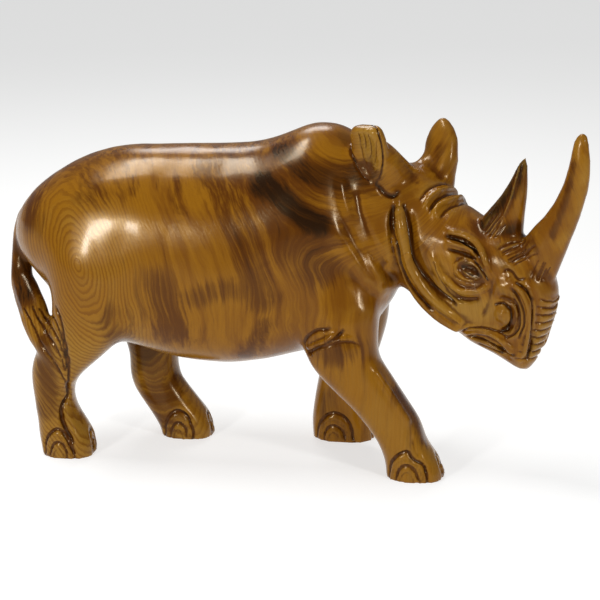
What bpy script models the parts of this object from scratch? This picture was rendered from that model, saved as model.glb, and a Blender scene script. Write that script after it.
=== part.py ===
"""Rhinoceros figurine carved from one block of wood, walking, with its head lowered and turned to its right.

The figure faces +X and stands on the flat soles of its four feet at z = 0. Its right side is -Y.
It is roughed out as overlapping closed forms, fused, rasped smooth, carved and then faceted.
"""

import math

import bmesh
import bpy
import numpy as np
from mathutils import Vector

# Driving dimensions, in metres
LENGTH = 0.293
BODY_WIDTH = 0.085

# The forms below are drawn for a figure 293 units long and 85 units wide in the barrel.
# Lengths and heights are shares of LENGTH, and widths are shares of BODY_WIDTH.
DRAWN_LENGTH = 293.0
DRAWN_WIDTH = 85.0
UNIT = LENGTH / DRAWN_LENGTH
SIDE_UNIT = BODY_WIDTH / DRAWN_WIDTH

# Fineness of the roughed-out and the finished surface, its facets, and how level the soles are
ROUGH_GRAIN = 1.7
FINE_GRAIN = 0.9
FACETS = 9800
SOLE_TOLERANCE = 0.35
# How often the rasp goes over the rough form, over the whole figure, and over each leg's root
ROUGH_RASPING = 24
FINE_RASPING = 4
ROOT_RASPING = 120
# A carved line is evened out this often, and rises from a share of its depth over a part of its length
LINE_SMOOTHING = 4
LINE_START = 0.25
LINE_FADE = 6.0

# How far apart the sections of each form are, and how square they are: 2 is a true ellipse
TRUNK_STEP = 3.0
LEG_STEP = 2.5
HEAD_STEP = 2.5
TAIL_STEP = 2.0
ROD_STEP = 1.5
TRUNK_SQUARENESS = 2.25
LEG_SQUARENESS = 2.6
HEAD_SQUARENESS = 2.6
EAR_SQUARENESS = 2.4
TAIL_SQUARENESS = 2.2
ROD_SQUARENESS = 2.0
# How many points a section has
OVAL_CORNERS = 40
EAR_CORNERS = 28
TAIL_CORNERS = 24
ROD_CORNERS = 24

WOOD_COLOUR = (0.40, 0.20, 0.045, 1.0)
WOOD_ROUGHNESS = 0.28

# The head's own frame: it starts between the ears, and its axis runs to the nose
POLL = Vector((57.6, -4.0, 152.0))
HEAD_YAW = math.radians(25.5)
HEAD_PITCH = math.radians(22.0)
HEAD_ALONG = Vector(
    (
        math.cos(HEAD_YAW) * math.cos(HEAD_PITCH),
        -math.sin(HEAD_YAW) * math.cos(HEAD_PITCH),
        -math.sin(HEAD_PITCH),
    )
)
HEAD_LEFT = Vector((math.sin(HEAD_YAW), math.cos(HEAD_YAW), 0.0))
HEAD_UP = HEAD_ALONG.cross(HEAD_LEFT)

# Trunk and neck, as upright slices: x, y, bottom, top, half width, fullness of the lower half
TRUNK = (
    (-145.5, 0.0, 105.0, 117.5, 8.0, 0.0),
    (-141.5, 0.0, 99.0, 126.5, 17.0, 0.0),
    (-135.5, 0.0, 93.0, 134.0, 25.0, 0.0),
    (-129.0, 0.0, 86.0, 139.5, 30.0, 0.0),
    (-120.5, 0.0, 76.0, 145.2, 34.0, 0.0),
    (-110.0, 0.0, 66.0, 150.8, 37.0, 0.02),
    (-96.0, 0.0, 59.5, 155.2, 39.5, 0.06),
    (-84.0, 0.0, 55.5, 157.2, 41.0, 0.10),
    (-71.0, 0.0, 52.0, 157.9, 41.8, 0.12),
    (-58.0, 0.0, 49.0, 158.2, 42.0, 0.12),
    (-38.0, 0.0, 47.7, 159.0, 42.5, 0.12),
    (-20.0, 0.0, 49.6, 161.0, 42.0, 0.10),
    (-5.0, 0.0, 53.5, 166.0, 41.0, 0.08),
    (9.0, 0.0, 57.0, 171.5, 39.5, 0.08),
    (19.0, 0.0, 60.0, 170.8, 37.0, 0.10),
    (27.0, 0.0, 62.0, 167.0, 33.5, 0.14),
    (35.0, -1.0, 67.0, 163.0, 30.0, 0.22),
    (44.0, -3.0, 78.0, 157.0, 25.5, 0.24),
    (51.0, -6.0, 90.0, 151.0, 18.5, 0.16),
)

# Legs, as level slices: z, back edge, front edge, y, half width
RIGHT_HIND_LEG = (
    (126.0, -123.0, -90.0, -18.0, 13.0),
    (112.0, -126.0, -79.0, -22.0, 18.0),
    (98.0, -124.0, -73.0, -24.0, 19.5),
    (84.0, -121.5, -71.0, -24.5, 19.0),
    (72.0, -122.5, -76.0, -24.0, 17.2),
    (60.0, -128.3, -89.9, -23.0, 15.2),
    (52.0, -132.3, -97.9, -22.5, 13.8),
    (45.0, -134.3, -105.9, -22.0, 13.0),
    (38.0, -134.3, -111.9, -21.5, 12.6),
    (31.0, -133.8, -113.9, -21.0, 12.4),
    (24.0, -133.3, -112.4, -20.5, 12.6),
    (17.0, -132.3, -108.4, -20.0, 13.0),
    (9.0, -131.8, -103.9, -20.0, 13.8),
    (2.0, -130.3, -102.4, -20.0, 14.0),
    (-5.0, -130.3, -102.4, -20.0, 14.0),
)
LEFT_HIND_LEG = (
    (126.0, -120.0, -84.0, 18.0, 13.0),
    (112.0, -124.0, -71.0, 22.0, 18.0),
    (98.0, -122.0, -62.0, 24.0, 19.5),
    (84.0, -116.0, -58.0, 24.0, 18.5),
    (72.0, -109.0, -60.0, 23.0, 16.4),
    (60.0, -100.0, -66.2, 21.5, 14.4),
    (50.0, -96.0, -67.7, 20.5, 13.0),
    (42.0, -93.5, -68.2, 20.0, 12.4),
    (34.0, -94.0, -67.7, 19.5, 12.2),
    (26.0, -92.0, -63.7, 19.5, 12.2),
    (17.0, -86.0, -56.7, 19.5, 12.8),
    (9.0, -80.5, -50.7, 19.5, 13.6),
    (2.0, -77.0, -48.7, 19.5, 13.8),
    (-5.0, -77.0, -48.7, 19.5, 13.8),
)
RIGHT_FORELEG = (
    (118.0, 6.0, 26.0, -14.0, 7.0),
    (109.0, 1.0, 33.0, -18.0, 11.5),
    (97.0, 2.0, 38.5, -22.0, 14.5),
    (84.0, 4.0, 43.5, -25.0, 15.5),
    (72.0, 5.5, 43.5, -26.0, 15.2),
    (62.0, 7.0, 43.5, -26.5, 14.6),
    (54.0, 10.5, 48.0, -26.5, 14.2),
    (45.0, 19.0, 54.0, -26.5, 13.8),
    (36.0, 28.5, 59.6, -26.5, 13.4),
    (27.0, 36.5, 65.1, -26.0, 13.2),
    (18.0, 43.0, 68.1, -26.0, 13.4),
    (10.0, 46.5, 73.6, -26.0, 14.0),
    (3.0, 48.0, 77.6, -26.0, 14.2),
    (-5.0, 48.0, 77.6, -26.0, 14.2),
)
LEFT_FORELEG = (
    (118.0, 6.0, 26.0, 14.0, 7.0),
    (109.0, 1.0, 33.0, 18.0, 11.5),
    (97.0, 2.0, 39.0, 22.0, 14.5),
    (84.0, 4.0, 43.0, 25.0, 15.5),
    (70.0, 7.0, 42.5, 26.5, 14.8),
    (56.0, 7.0, 39.5, 27.5, 14.2),
    (42.0, 6.5, 35.5, 28.0, 13.6),
    (30.0, 4.5, 33.0, 28.5, 13.2),
    (18.0, 3.0, 32.5, 28.5, 13.4),
    (9.0, 2.0, 34.5, 28.5, 14.0),
    (2.0, 2.5, 36.0, 28.5, 14.2),
    (-5.0, 2.5, 36.0, 28.5, 14.2),
)

# Head, as slices square to its axis: along, top, bottom, half width, fullness of the lower half
HEAD = (
    (-13.0, -8.0, -30.0, 10.0, 0.0),
    (-7.0, -2.5, -41.0, 17.0, 0.0),
    (3.0, 0.0, -49.5, 20.5, 0.0),
    (14.0, -2.2, -53.7, 21.5, 0.05),
    (26.0, -4.8, -56.0, 21.5, 0.10),
    (38.0, -6.0, -57.6, 20.5, 0.10),
    (50.0, -6.0, -60.0, 18.8, 0.04),
    (57.0, -5.0, -62.6, 17.8, -0.04),
    (64.0, -3.0, -63.8, 16.9, -0.08),
    (72.0, -4.0, -63.2, 16.2, -0.08),
    (80.5, -7.5, -62.4, 15.4, -0.06),
    (87.3, -12.0, -62.6, 13.9, -0.04),
    (91.8, -16.5, -63.4, 11.6, 0.0),
    (95.2, -23.0, -63.4, 8.4, 0.0),
    (97.2, -36.0, -60.5, 4.0, 0.0),
)
JAW_ROLL = (
    (5.0, 15.0, -8.0, 2.2),
    (12.5, 20.0, -18.0, 3.0),
    (17.0, 20.8, -27.0, 3.3),
    (22.5, 20.8, -36.0, 3.4),
    (29.5, 20.0, -44.0, 3.5),
    (39.0, 18.8, -50.2, 3.5),
    (50.0, 16.8, -54.0, 3.3),
    (61.0, 14.0, -56.0, 2.6),
)

# Horns, as round sections on a curve in the head's middle plane: along, up, half depth
FRONT_HORN = (
    (78.0, -17.0, 12.0),
    (78.6, -8.0, 11.4),
    (79.9, 2.0, 10.1),
    (81.5, 12.0, 8.3),
    (82.2, 23.0, 7.0),
    (81.4, 35.0, 6.1),
    (79.0, 44.0, 5.2),
    (76.4, 51.0, 4.1),
    (75.2, 55.5, 2.9),
    (74.6, 57.6, 1.2),
)
REAR_HORN = (
    (55.2, -11.0, 13.0),
    (55.4, -4.0, 11.2),
    (55.4, 4.0, 8.6),
    (55.4, 12.0, 6.5),
    (54.6, 20.0, 4.6),
    (53.4, 27.5, 2.8),
    (52.6, 33.0, 1.0),
)
HORN_FLATNESS = 0.78

# Ears, as flattened sections from root to tip: share of the ear's length, half width, half thickness
RIGHT_EAR = (
    (-0.15, 5.5, 6.0),
    (0.10, 7.4, 6.6),
    (0.35, 9.2, 6.2),
    (0.60, 9.9, 5.6),
    (0.82, 9.6, 5.0),
    (0.94, 8.8, 4.2),
    (1.00, 7.2, 3.0),
)
LEFT_EAR = (
    (-0.15, 8.0, 6.6),
    (0.10, 8.4, 6.4),
    (0.35, 9.8, 6.0),
    (0.60, 9.4, 5.2),
    (0.80, 7.2, 4.2),
    (0.93, 4.2, 2.8),
    (1.00, 1.4, 1.4),
)
# The bowl of each ear, as sections of its gouge: share of the ear's length, half width, depth
RIGHT_EAR_BOWL = (
    (0.02, 1.0, 0.6),
    (0.14, 4.4, 2.4),
    (0.35, 6.9, 3.8),
    (0.60, 8.2, 4.2),
    (0.80, 8.2, 3.8),
    (0.92, 7.2, 2.8),
    (0.975, 5.2, 1.2),
)
LEFT_EAR_BOWL = (
    (0.10, 1.0, 0.6),
    (0.22, 4.4, 2.4),
    (0.42, 6.6, 4.0),
    (0.62, 6.6, 4.2),
    (0.78, 4.6, 3.2),
    (0.88, 1.6, 1.2),
)
# Each ear's root and tip in the head's frame, and the way that its bowl opens
RIGHT_EAR_PLACE = ((-6.5, -18.0, -11.5), (-19.9, -25.0, 15.4), (-0.1, -1.0, 0.1))
LEFT_EAR_PLACE = ((8.4, 15.5, -8.0), (-6.3, 24.0, 19.4), (0.1, 1.0, 0.1))
# The swell that each ear grows out of, from its back down to the forehead: along, left, up, radius
RIGHT_EAR_SWELL = (
    (-17.0, -22.5, 9.5, 4.0),
    (-12.5, -18.5, 3.0, 8.2),
    (-8.5, -15.5, -1.0, 9.4),
    (-4.5, -10.5, -5.5, 9.8),
    (-2.0, -4.0, -10.0, 10.0),
)
LEFT_EAR_SWELL = (
    (-0.5, 19.0, 1.0, 5.5),
    (0.5, 13.5, -6.5, 7.5),
    (1.0, 8.0, -10.2, 9.2),
    (2.0, 2.0, -12.0, 10.0),
)

# Where the legs flow into the trunk: x, y, z and the reach of the rasp, the same on both sides
BLENDS = (
    (8.0, 38.0, 92.0, 34.0),
    (-100.0, 38.0, 104.0, 34.0),
)
# The share of that reach over which the rasping fades out
BLEND_EDGE = 0.4

# Tail, as flattened sections along its line: x, y, z, half depth, half width
TAIL = (
    (-134.0, 0.0, 126.0, 6.0, 6.5),
    (-141.3, 0.0, 117.0, 5.4, 6.0),
    (-144.1, -0.5, 107.0, 4.8, 5.5),
    (-144.5, -2.0, 97.0, 5.2, 5.3),
    (-143.9, -5.0, 88.0, 5.8, 5.3),
    (-139.3, -12.0, 81.0, 7.4, 5.5),
    (-132.8, -20.5, 72.5, 8.2, 5.6),
    (-128.8, -27.0, 63.0, 6.0, 5.4),
    (-120.5, -32.0, 54.0, 5.4, 5.0),
    (-115.5, -32.0, 45.0, 4.2, 4.4),
    (-113.0, -29.0, 38.0, 2.6, 3.2),
)

# Lines carved on both sides of the head, in its own frame with "left" taken outward on each side:
# half width, height (below 0 for a groove), and the line's points as along, outward, up
HEAD_LINES = (
    (3.0, -1.5, ((7, 22, -14), (12, 23, -25), (18, 24, -35), (24, 21, -43), (31, 19, -49))),
    (3.4, 2.0, ((11, 21, -13), (16, 22, -21), (21, 22, -27), (27, 22, -34), (34, 21, -40), (44, 18, -47),
        (56, 14, -51))),
    (3.0, -1.7, ((15, 20, -13), (20, 20, -20), (25, 21, -26), (31, 22, -33), (39, 21, -39), (46, 19, -43),
        (55, 17, -46))),
    (2.4, 1.9, ((36, 17, -12), (43, 15, -9.5), (50, 14, -10), (56.5, 15, -13), (62, 16, -18), (66, 16, -24))),
    (1.5, -1.5, ((38, 17, -15), (45, 16, -13), (52, 15, -13.5), (58, 16, -17))),
    (1.9, 1.3, ((38, 18, -18.5), (43, 18, -17.5), (49, 17, -15.8), (55, 16, -16.5), (61, 16, -20),
        (66, 16, -26))),
    (1.4, 1.1, ((46, 18, -24), (50, 18, -28.5), (56, 18, -29.8), (63, 17, -28.5))),
    (2.3, 1.7, ((36, 21, -27), (42, 21, -32.5), (50, 19, -35.5), (59, 18, -35.5), (66, 17, -31))),
    (2.4, -1.3, ((36, 21, -33), (44, 20, -38.5), (54, 18, -40.5), (64, 17, -38))),
    (2.6, -1.4, ((68, 16, -22), (69, 16, -29), (70, 15, -36), (69, 15, -43))),
    (2.3, -2.6, ((74, 16, -29.5), (80, 15.5, -28), (85, 15, -31), (86.5, 14, -36), (85, 14, -41.5),
        (80, 14, -44))),
    (1.8, 1.6, ((76, 14, -20), (83, 14, -22), (88, 13, -26.5), (90, 12, -34), (89.5, 12, -41),
        (85.5, 14, -46.5))),
    (1.5, 1.2, ((80, 14, -17.5), (87, 13, -21.5), (91.5, 12, -29), (93, 11, -38), (93.5, 9, -50),
        (93, 7, -57))),
    (1.5, -1.8, ((83, 13, -15.5), (90, 12, -20.5), (94, 10, -29), (95.5, 8.5, -40), (96, 6, -57))),
    (2.2, 1.7, ((60, 12, -55), (66, 14, -51.5), (73, 15, -49), (80, 14.5, -48.5), (87, 12, -51),
        (92, 9, -56))),
    (1.8, -2.4, ((66, 12, -57.5), (73, 13, -53.5), (81, 13, -53), (88, 10, -56.5))),
)
# Mounds and hollows on both sides of the head: along, up, half length, half height, tilt in degrees, height
# and how steep the rim is (a half gives a ball, and more gives a softer rise)
HEAD_MOUNDS = (
    (56.0, -22.5, 13.0, 9.0, -8.0, -2.3, 1.5),
    (56.0, -23.0, 7.6, 4.6, -10.0, 2.8, 0.5),
    (56.5, -23.0, 2.4, 2.2, 0.0, -0.9, 1.0),
    (79.0, -36.0, 4.4, 4.4, 0.0, 2.0, 0.5),
    (20.0, -30.0, 18.0, 18.0, 0.0, 1.4, 2.0),
    (74.0, -24.0, 6.0, 5.0, 0.0, 1.2, 1.5),
)
# How far out on either side of the head's middle plane they reach
MOUND_REACH = (6.0, 26.0)
# Wrinkles across the forehead: half width, height and points as along, outward, up
FOREHEAD_LINES = (
    (2.4, 1.2, ((20.5, 16, -11), (19.5, 12, -6.6), (18.6, 8.6, -5.1), (18.6, 2, -3.8), (18.8, 0, -3.8))),
    (2.0, -1.1, ((24.5, 16, -11.5), (22.6, 12, -7), (22, 6, -4.5), (22.2, 0, -4))),
    (2.6, 1.3, ((27.5, 16.5, -12.5), (25.2, 13, -7.8), (25.2, 6.6, -5.6), (26.4, 0, -5.4))),
    (2.8, -1.0, ((31.5, 15, -10.5), (29.4, 11, -7.5), (29.4, 5, -6), (30.4, 0, -6))),
)
# Ribs down the front of the lip
RIB_SPACING = 4.1
RIB_HEIGHT = 0.75
RIB_REACH = 8.5
RIB_TOP = -19.0
RIB_BOTTOM = -57.0
# How steeply the ribs end, at the sides and at the top and bottom, and how far the lip has to face forward
RIB_SIDE = 1.5
RIB_END = 2.0
RIB_FACING = (0.35, 0.65)
RIB_START = 80.0

# Feet: x, y, the radius at the nails, and the half width of the side nails
FEET = (
    (-116.0, -20.0, 14.0, 8.5),
    (-62.5, 19.5, 14.2, 8.5),
    (63.0, -26.0, 15.0, 11.0),
    (18.5, 28.5, 15.5, 11.0),
)
# Nails: bearing from the front, share of that half width, and height. Each has two arches, whose groove is
# given as half width and height
NAILS = ((103.0, 1.0, 14.5), (-103.0, 1.0, 14.5), (8.0, 0.62, 12.0))
NAIL_ARCHES = (1.0, 0.55)
NAIL_GROOVE = (1.5, -1.5)
ARCH_STEPS = 12
ARCH_FOOT = 0.5

# Lines carved on the right side of the body: half width, height and points as x, y, z
BODY_LINES = (
    (5.5, 2.2, ((22, -36, 130), (25, -35, 122), (30, -33, 113), (35, -33, 105), (41, -31, 98),
        (47, -22, 92))),
    (5.0, -2.0, ((29, -32, 131), (33, -30, 121), (39, -28, 111), (46, -26, 103), (53, -20, 96))),
    (1.8, -1.5, ((20, -40, 74), (16, -40, 72), (11, -37, 65), (11, -36, 61), (14, -36, 59))),
    (2.4, -2.0, ((14, -36, 59), (20, -40, 65), (27, -42, 70), (31, -41, 76))),
    (2.4, 1.3, ((15, -40, 64), (20, -41, 69), (25, -42, 73))),
    (1.8, -1.2, ((27, -42, 70), (32, -41, 70), (38, -39, 69))),
    (4.5, 1.2, ((41, -38, 62), (48, -37, 49), (54, -37, 40), (60, -37, 29))),
    (2.4, -1.8, ((-106, -36, 55), (-112, -32, 43), (-116, -31, 31), (-117, -32, 22), (-113, -33, 14),
        (-110, -33, 2))),
    (1.8, -1.3, ((-117, -32, 26), (-115, -30, 31), (-113, -27, 35))),
    (2.2, -1.6, ((62, -37, 24), (63, -38, 17), (66, -37, 12))),
)
# Hair grooves on the tail: how far round it, in degrees, with its start and its end as shares of the tail.
# Each has a half width and height, and follows every third section
TAIL_GROOVES = ((-150.0, 0.35, 0.98), (-95.0, 0.42, 0.96), (-40.0, 0.40, 0.98), (20.0, 0.5, 0.95))
TAIL_GROOVE = (1.5, -1.1)
TAIL_PICK = 3


def sides(vector):
    """A drawn point in metres, with its width as a share of BODY_WIDTH."""
    return Vector((vector[0] * UNIT, vector[1] * SIDE_UNIT, vector[2] * UNIT))


def head_point(along, left, up):
    """A drawn point given in the head's own frame."""
    return POLL + HEAD_ALONG * along + HEAD_LEFT * left + HEAD_UP * up


def smooth_rows(rows, step):
    """Rows of a table, filled in on a smooth curve that never swings past two neighbouring rows."""
    rows = np.array(rows, float)
    spans = np.linalg.norm(np.diff(rows[:, :3], axis=0), axis=1)
    knots = np.concatenate([[0.0], np.cumsum(spans)])
    slopes = np.diff(rows, axis=0) / spans[:, None]
    tangents = np.zeros_like(rows)
    tangents[0], tangents[-1] = slopes[0], slopes[-1]
    before, after = slopes[:-1], slopes[1:]
    same_way = before * after > 0
    total = np.where(same_way, before + after, 1.0)
    tangents[1:-1] = np.where(same_way, 2 * before * after / total, 0.0)
    places = np.linspace(0, knots[-1], max(2, round(knots[-1] / step)) + 1)
    span = np.clip(np.searchsorted(knots, places, "right") - 1, 0, len(spans) - 1)
    width = spans[span][:, None]
    t = ((places - knots[span]) / spans[span])[:, None]
    return (
        rows[span] * (2 * t**3 - 3 * t**2 + 1)
        + rows[span + 1] * (3 * t**2 - 2 * t**3)
        + tangents[span] * width * (t**3 - 2 * t**2 + t)
        + tangents[span + 1] * width * (t**3 - t**2)
    )


def loft(name, rings):
    """A closed form skinned over rings of points, with its two ends capped."""
    mesh = bmesh.new()
    loops = [[mesh.verts.new(sides(point)) for point in ring] for ring in rings]
    count = len(loops[0])
    for lower, upper in zip(loops, loops[1:]):
        for i in range(count):
            j = (i + 1) % count
            mesh.faces.new((lower[i], lower[j], upper[j], upper[i]))
    mesh.faces.new(reversed(loops[0]))
    mesh.faces.new(loops[-1])
    bmesh.ops.recalc_face_normals(mesh, faces=mesh.faces)
    data = bpy.data.meshes.new(name)
    mesh.to_mesh(data)
    mesh.free()
    form = bpy.data.objects.new(name, data)
    bpy.context.scene.collection.objects.link(form)
    return form


def oval(centre, across, along, squareness, fullness=0.0, count=OVAL_CORNERS):
    """Points round an oval. A fullness above 0 widens its lower half and narrows its upper half."""
    points = []
    for i in range(count):
        angle = 2 * math.pi * i / count
        c, s = math.cos(angle), math.sin(angle)
        c = math.copysign(abs(c) ** (2 / squareness), c)
        s = math.copysign(abs(s) ** (2 / squareness), s)
        points.append(centre + across * (c * (1 - fullness * s)) + along * s)
    return points


def upright_form(name, rows):
    rings = []
    for x, y, bottom, top, half_width, fullness in smooth_rows(rows, TRUNK_STEP):
        centre = Vector((x, y, (bottom + top) / 2))
        rise = Vector((0, 0, (top - bottom) / 2))
        rings.append(oval(centre, Vector((0, half_width, 0)), rise, TRUNK_SQUARENESS, fullness))
    return loft(name, rings)


def leg(name, rows):
    rings = []
    for z, back, front, y, half_width in smooth_rows(rows, LEG_STEP):
        centre = Vector(((back + front) / 2, y, z))
        reach = Vector(((front - back) / 2, 0, 0))
        rings.append(oval(centre, Vector((0, half_width, 0)), reach, LEG_SQUARENESS))
    return loft(name, rings)


def head_form(name, rows):
    rings = []
    for along, top, bottom, half_width, fullness in smooth_rows(rows, HEAD_STEP):
        centre = head_point(along, 0, (top + bottom) / 2)
        rise = HEAD_UP * ((top - bottom) / 2)
        rings.append(oval(centre, HEAD_LEFT * half_width, rise, HEAD_SQUARENESS, fullness))
    return loft(name, rings)


def rod(name, rows, flatness=1.0):
    """A tapering rod along the points of its rows, with the half depth last. Flatness narrows it sideways."""
    rows = smooth_rows(rows, ROD_STEP)
    rings = []
    for i, row in enumerate(rows):
        ahead, behind = rows[min(i + 1, len(rows) - 1)], rows[max(i - 1, 0)]
        run = Vector(ahead[:3] - behind[:3])
        depth = HEAD_LEFT.cross(run).normalized()
        width = run.cross(depth).normalized() * flatness
        across, along = width * row[3], depth * row[3]
        rings.append(oval(Vector(row[:3]), across, along, ROD_SQUARENESS, count=ROD_CORNERS))
    return loft(name, rings)


def horn(name, rows):
    return rod(name, [(*head_point(along, 0, up), depth) for along, up, depth in rows], HORN_FLATNESS)


def head_rod(name, rows, side=1):
    """A round rod under the skin of the head, or its mirror image with a side of -1."""
    return rod(name, [(*head_point(along, left * side, up), depth) for along, left, up, depth in rows])


def ear(name, rows, bowl, place, swell):
    """An ear on its swell, with a bowl gouged out of the face that it opens on."""
    root, tip = head_point(*place[0]), head_point(*place[1])
    opening = HEAD_ALONG * place[2][0] + HEAD_LEFT * place[2][1] + HEAD_UP * place[2][2]
    run = tip - root
    length = run.length
    run.normalize()
    opening = (opening - run * opening.dot(run)).normalized()
    across = run.cross(opening)

    def sections(rows, lift):
        for along, half_width, depth in smooth_rows([(row[0] * length, *row[1:]) for row in rows], ROD_STEP):
            centre = root + run * along + opening * lift
            width, lip = across * half_width, opening * depth
            yield oval(centre, width, lip, EAR_SQUARENESS, count=EAR_CORNERS)

    lobe = loft(name, list(sections(rows, 0.0)))
    combine(lobe, head_rod(name + " swell", swell), "UNION")
    combine(lobe, loft(name + " bowl", list(sections(bowl, max(row[2] for row in rows)))), "DIFFERENCE")
    return lobe


def combine(form, other, operation):
    apply_modifier(form, "BOOLEAN", operation=operation, object=other, solver="EXACT")
    bpy.data.objects.remove(other)


def tail_frames(rows):
    """The tail's centre line, with its half width and half depth as vectors at each place."""
    rows = smooth_rows(rows, TAIL_STEP)
    frames = []
    for i, (x, y, z, half_depth, half_width) in enumerate(rows):
        ahead, behind = rows[min(i + 1, len(rows) - 1)], rows[max(i - 1, 0)]
        run = Vector(ahead[:3] - behind[:3]).normalized()
        depth = run.cross(Vector((0, 1, 0))).normalized()
        frames.append((Vector((x, y, z)), run.cross(depth) * half_width, depth * half_depth))
    return frames


def tail(name, rows):
    rings = [oval(*frame, TAIL_SQUARENESS, count=TAIL_CORNERS) for frame in tail_frames(rows)]
    return loft(name, rings)


def tail_lines(rows):
    frames = tail_frames(rows)
    for turn, start, end in TAIL_GROOVES:
        c, s = math.cos(math.radians(turn)), math.sin(math.radians(turn))
        part = frames[int(start * (len(frames) - 1)) : int(end * (len(frames) - 1)) + 1 : TAIL_PICK]
        yield [tuple(centre + width * c + depth * s) for centre, width, depth in part]


def apply_modifier(form, kind, **settings):
    modifier = form.modifiers.new(kind.title(), kind)
    for key, value in settings.items():
        setattr(modifier, key, value)
    bpy.context.view_layer.objects.active = form
    bpy.ops.object.modifier_apply(modifier=modifier.name)


def fuse(forms, grain, rasping):
    """Fuses overlapping forms into one skin, and rasps down the creases between them."""
    bpy.ops.object.select_all(action="DESELECT")
    for form in forms:
        form.select_set(True)
    bpy.context.view_layer.objects.active = forms[0]
    bpy.ops.object.join()
    fused = bpy.context.view_layer.objects.active
    apply_modifier(fused, "REMESH", mode="VOXEL", voxel_size=grain * UNIT)
    apply_modifier(fused, "SMOOTH", factor=0.5, iterations=rasping)
    return fused


def blend(figure):
    """Rasps on where the legs flow into the trunk."""
    skin = Skin(figure)
    group = figure.vertex_groups.new(name="blend")
    for x, y, z, reach in BLENDS:
        for side in (-1, 1):
            gap = np.linalg.norm(skin.points - (x, y * side, z), axis=1) / reach
            for vertex in np.nonzero(gap < 1)[0]:
                group.add([int(vertex)], min(1.0, (1 - gap[vertex]) / BLEND_EDGE), "REPLACE")
    apply_modifier(figure, "SMOOTH", factor=0.5, iterations=ROOT_RASPING, vertex_group=group.name)
    figure.vertex_groups.clear()


class Skin:
    """The figure's surface while it is carved: its points and outward directions, in drawn units."""

    def __init__(self, figure):
        self.mesh = figure.data
        count = len(self.mesh.vertices)
        self.scale = np.array([UNIT, SIDE_UNIT, UNIT])
        places = np.empty(count * 3)
        self.mesh.vertices.foreach_get("co", places)
        self.points = places.reshape(-1, 3) / self.scale
        outward = np.empty(count * 3)
        self.mesh.vertex_normals.foreach_get("vector", outward)
        self.outward = outward.reshape(-1, 3)
        self.push = np.zeros(count)
        from_poll = self.points - np.array(POLL)
        frame = np.array([HEAD_ALONG, HEAD_LEFT, HEAD_UP])
        self.head = from_poll @ frame.T

    def nearest(self, point):
        return self.points[np.argmin(((self.points - point) ** 2).sum(axis=1))]

    def line(self, half_width, height, drawn):
        """Raises or cuts a line that fades at both ends. Its drawn points are first laid on the skin."""
        curve = smooth_rows(drawn, half_width / 2)
        curve = np.array([self.nearest(point) for point in curve])
        for _ in range(LINE_SMOOTHING):
            curve[1:-1] = (curve[:-2] + 2 * curve[1:-1] + curve[2:]) / 4
        low, high = curve.min(axis=0) - half_width, curve.max(axis=0) + half_width
        near = np.nonzero(((self.points > low) & (self.points < high)).all(axis=1))[0]
        best = np.full(len(near), np.inf)
        share = np.zeros(len(near))
        for i, (start, end) in enumerate(zip(curve, curve[1:])):
            step = end - start
            length = max(float(step @ step), 1e-9)
            along = np.clip((self.points[near] - start) @ step / length, 0, 1)
            gap = np.linalg.norm(self.points[near] - start - along[:, None] * step, axis=1)
            closer = gap < best
            best[closer] = gap[closer]
            share[closer] = ((i + along) / (len(curve) - 1))[closer]
        inside = best < half_width
        fade = np.clip(np.minimum(share, 1 - share) * LINE_FADE + LINE_START, 0, 1)
        shape = 0.5 + 0.5 * np.cos(math.pi * best / half_width)
        self.push[near[inside]] += (height * fade * shape)[inside]

    def mound(self, along, up, half_length, half_height, tilt, height, softness):
        """Raises or hollows an oval on both sides of the head."""
        c, s = math.cos(math.radians(tilt)), math.sin(math.radians(tilt))
        x, z = self.head[:, 0] - along, self.head[:, 2] - up
        spread = np.hypot((x * c + z * s) / half_length, (z * c - x * s) / half_height)
        outward = np.abs(self.head[:, 1])
        inside = (spread < 1) & (outward > MOUND_REACH[0]) & (outward < MOUND_REACH[1])
        self.push[inside] += height * (1 - spread[inside] ** 2) ** softness

    def ribs(self):
        """Level ribs down the front of the upper lip."""
        along, left, up = self.head.T
        facing = self.outward @ np.array(HEAD_ALONG)
        room = np.clip((facing - RIB_FACING[0]) / (RIB_FACING[1] - RIB_FACING[0]), 0, 1) * (along > RIB_START)
        room *= np.clip((RIB_REACH - np.abs(left)) / RIB_SIDE, 0, 1)
        room *= np.clip((RIB_TOP - up) / RIB_END, 0, 1)
        room *= np.clip((up - RIB_BOTTOM) / RIB_END, 0, 1)
        self.push += RIB_HEIGHT * room * np.cos(2 * math.pi * (up - RIB_TOP) / RIB_SPACING)

    def carved(self):
        moved = (self.points + self.outward * self.push[:, None]) * self.scale
        self.mesh.vertices.foreach_set("co", moved.ravel())
        self.mesh.update()


def both_sides(points):
    for side in (-1, 1):
        yield [head_point(along, outward * side, up) for along, outward, up in points]


def nail_lines(x, y, radius, side_nail):
    """The nested arches round the nails of a foot."""
    for bearing, breadth, height in NAILS:
        for share in NAIL_ARCHES:
            arch = []
            for step in range(ARCH_STEPS + 1):
                turn = math.pi * step / ARCH_STEPS
                angle = math.radians(bearing) + share * breadth * side_nail / radius * math.cos(turn)
                z = ARCH_FOOT + share * height * math.sin(turn)
                arch.append((x + radius * math.cos(angle), y + radius * math.sin(angle), z))
            yield arch


def carve(figure):
    skin = Skin(figure)
    for half_width, height, points in HEAD_LINES:
        for drawn in both_sides(points):
            skin.line(half_width, height, drawn)
    for half_width, height, points in FOREHEAD_LINES:
        for drawn in both_sides(points):
            skin.line(half_width, height, drawn)
    for mound in HEAD_MOUNDS:
        skin.mound(*mound)
    skin.ribs()
    for foot in FEET:
        for drawn in nail_lines(*foot):
            skin.line(*NAIL_GROOVE, drawn)
    for half_width, height, points in BODY_LINES:
        skin.line(half_width, height, points)
    for drawn in tail_lines(TAIL):
        skin.line(*TAIL_GROOVE, drawn)
    skin.carved()


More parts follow.
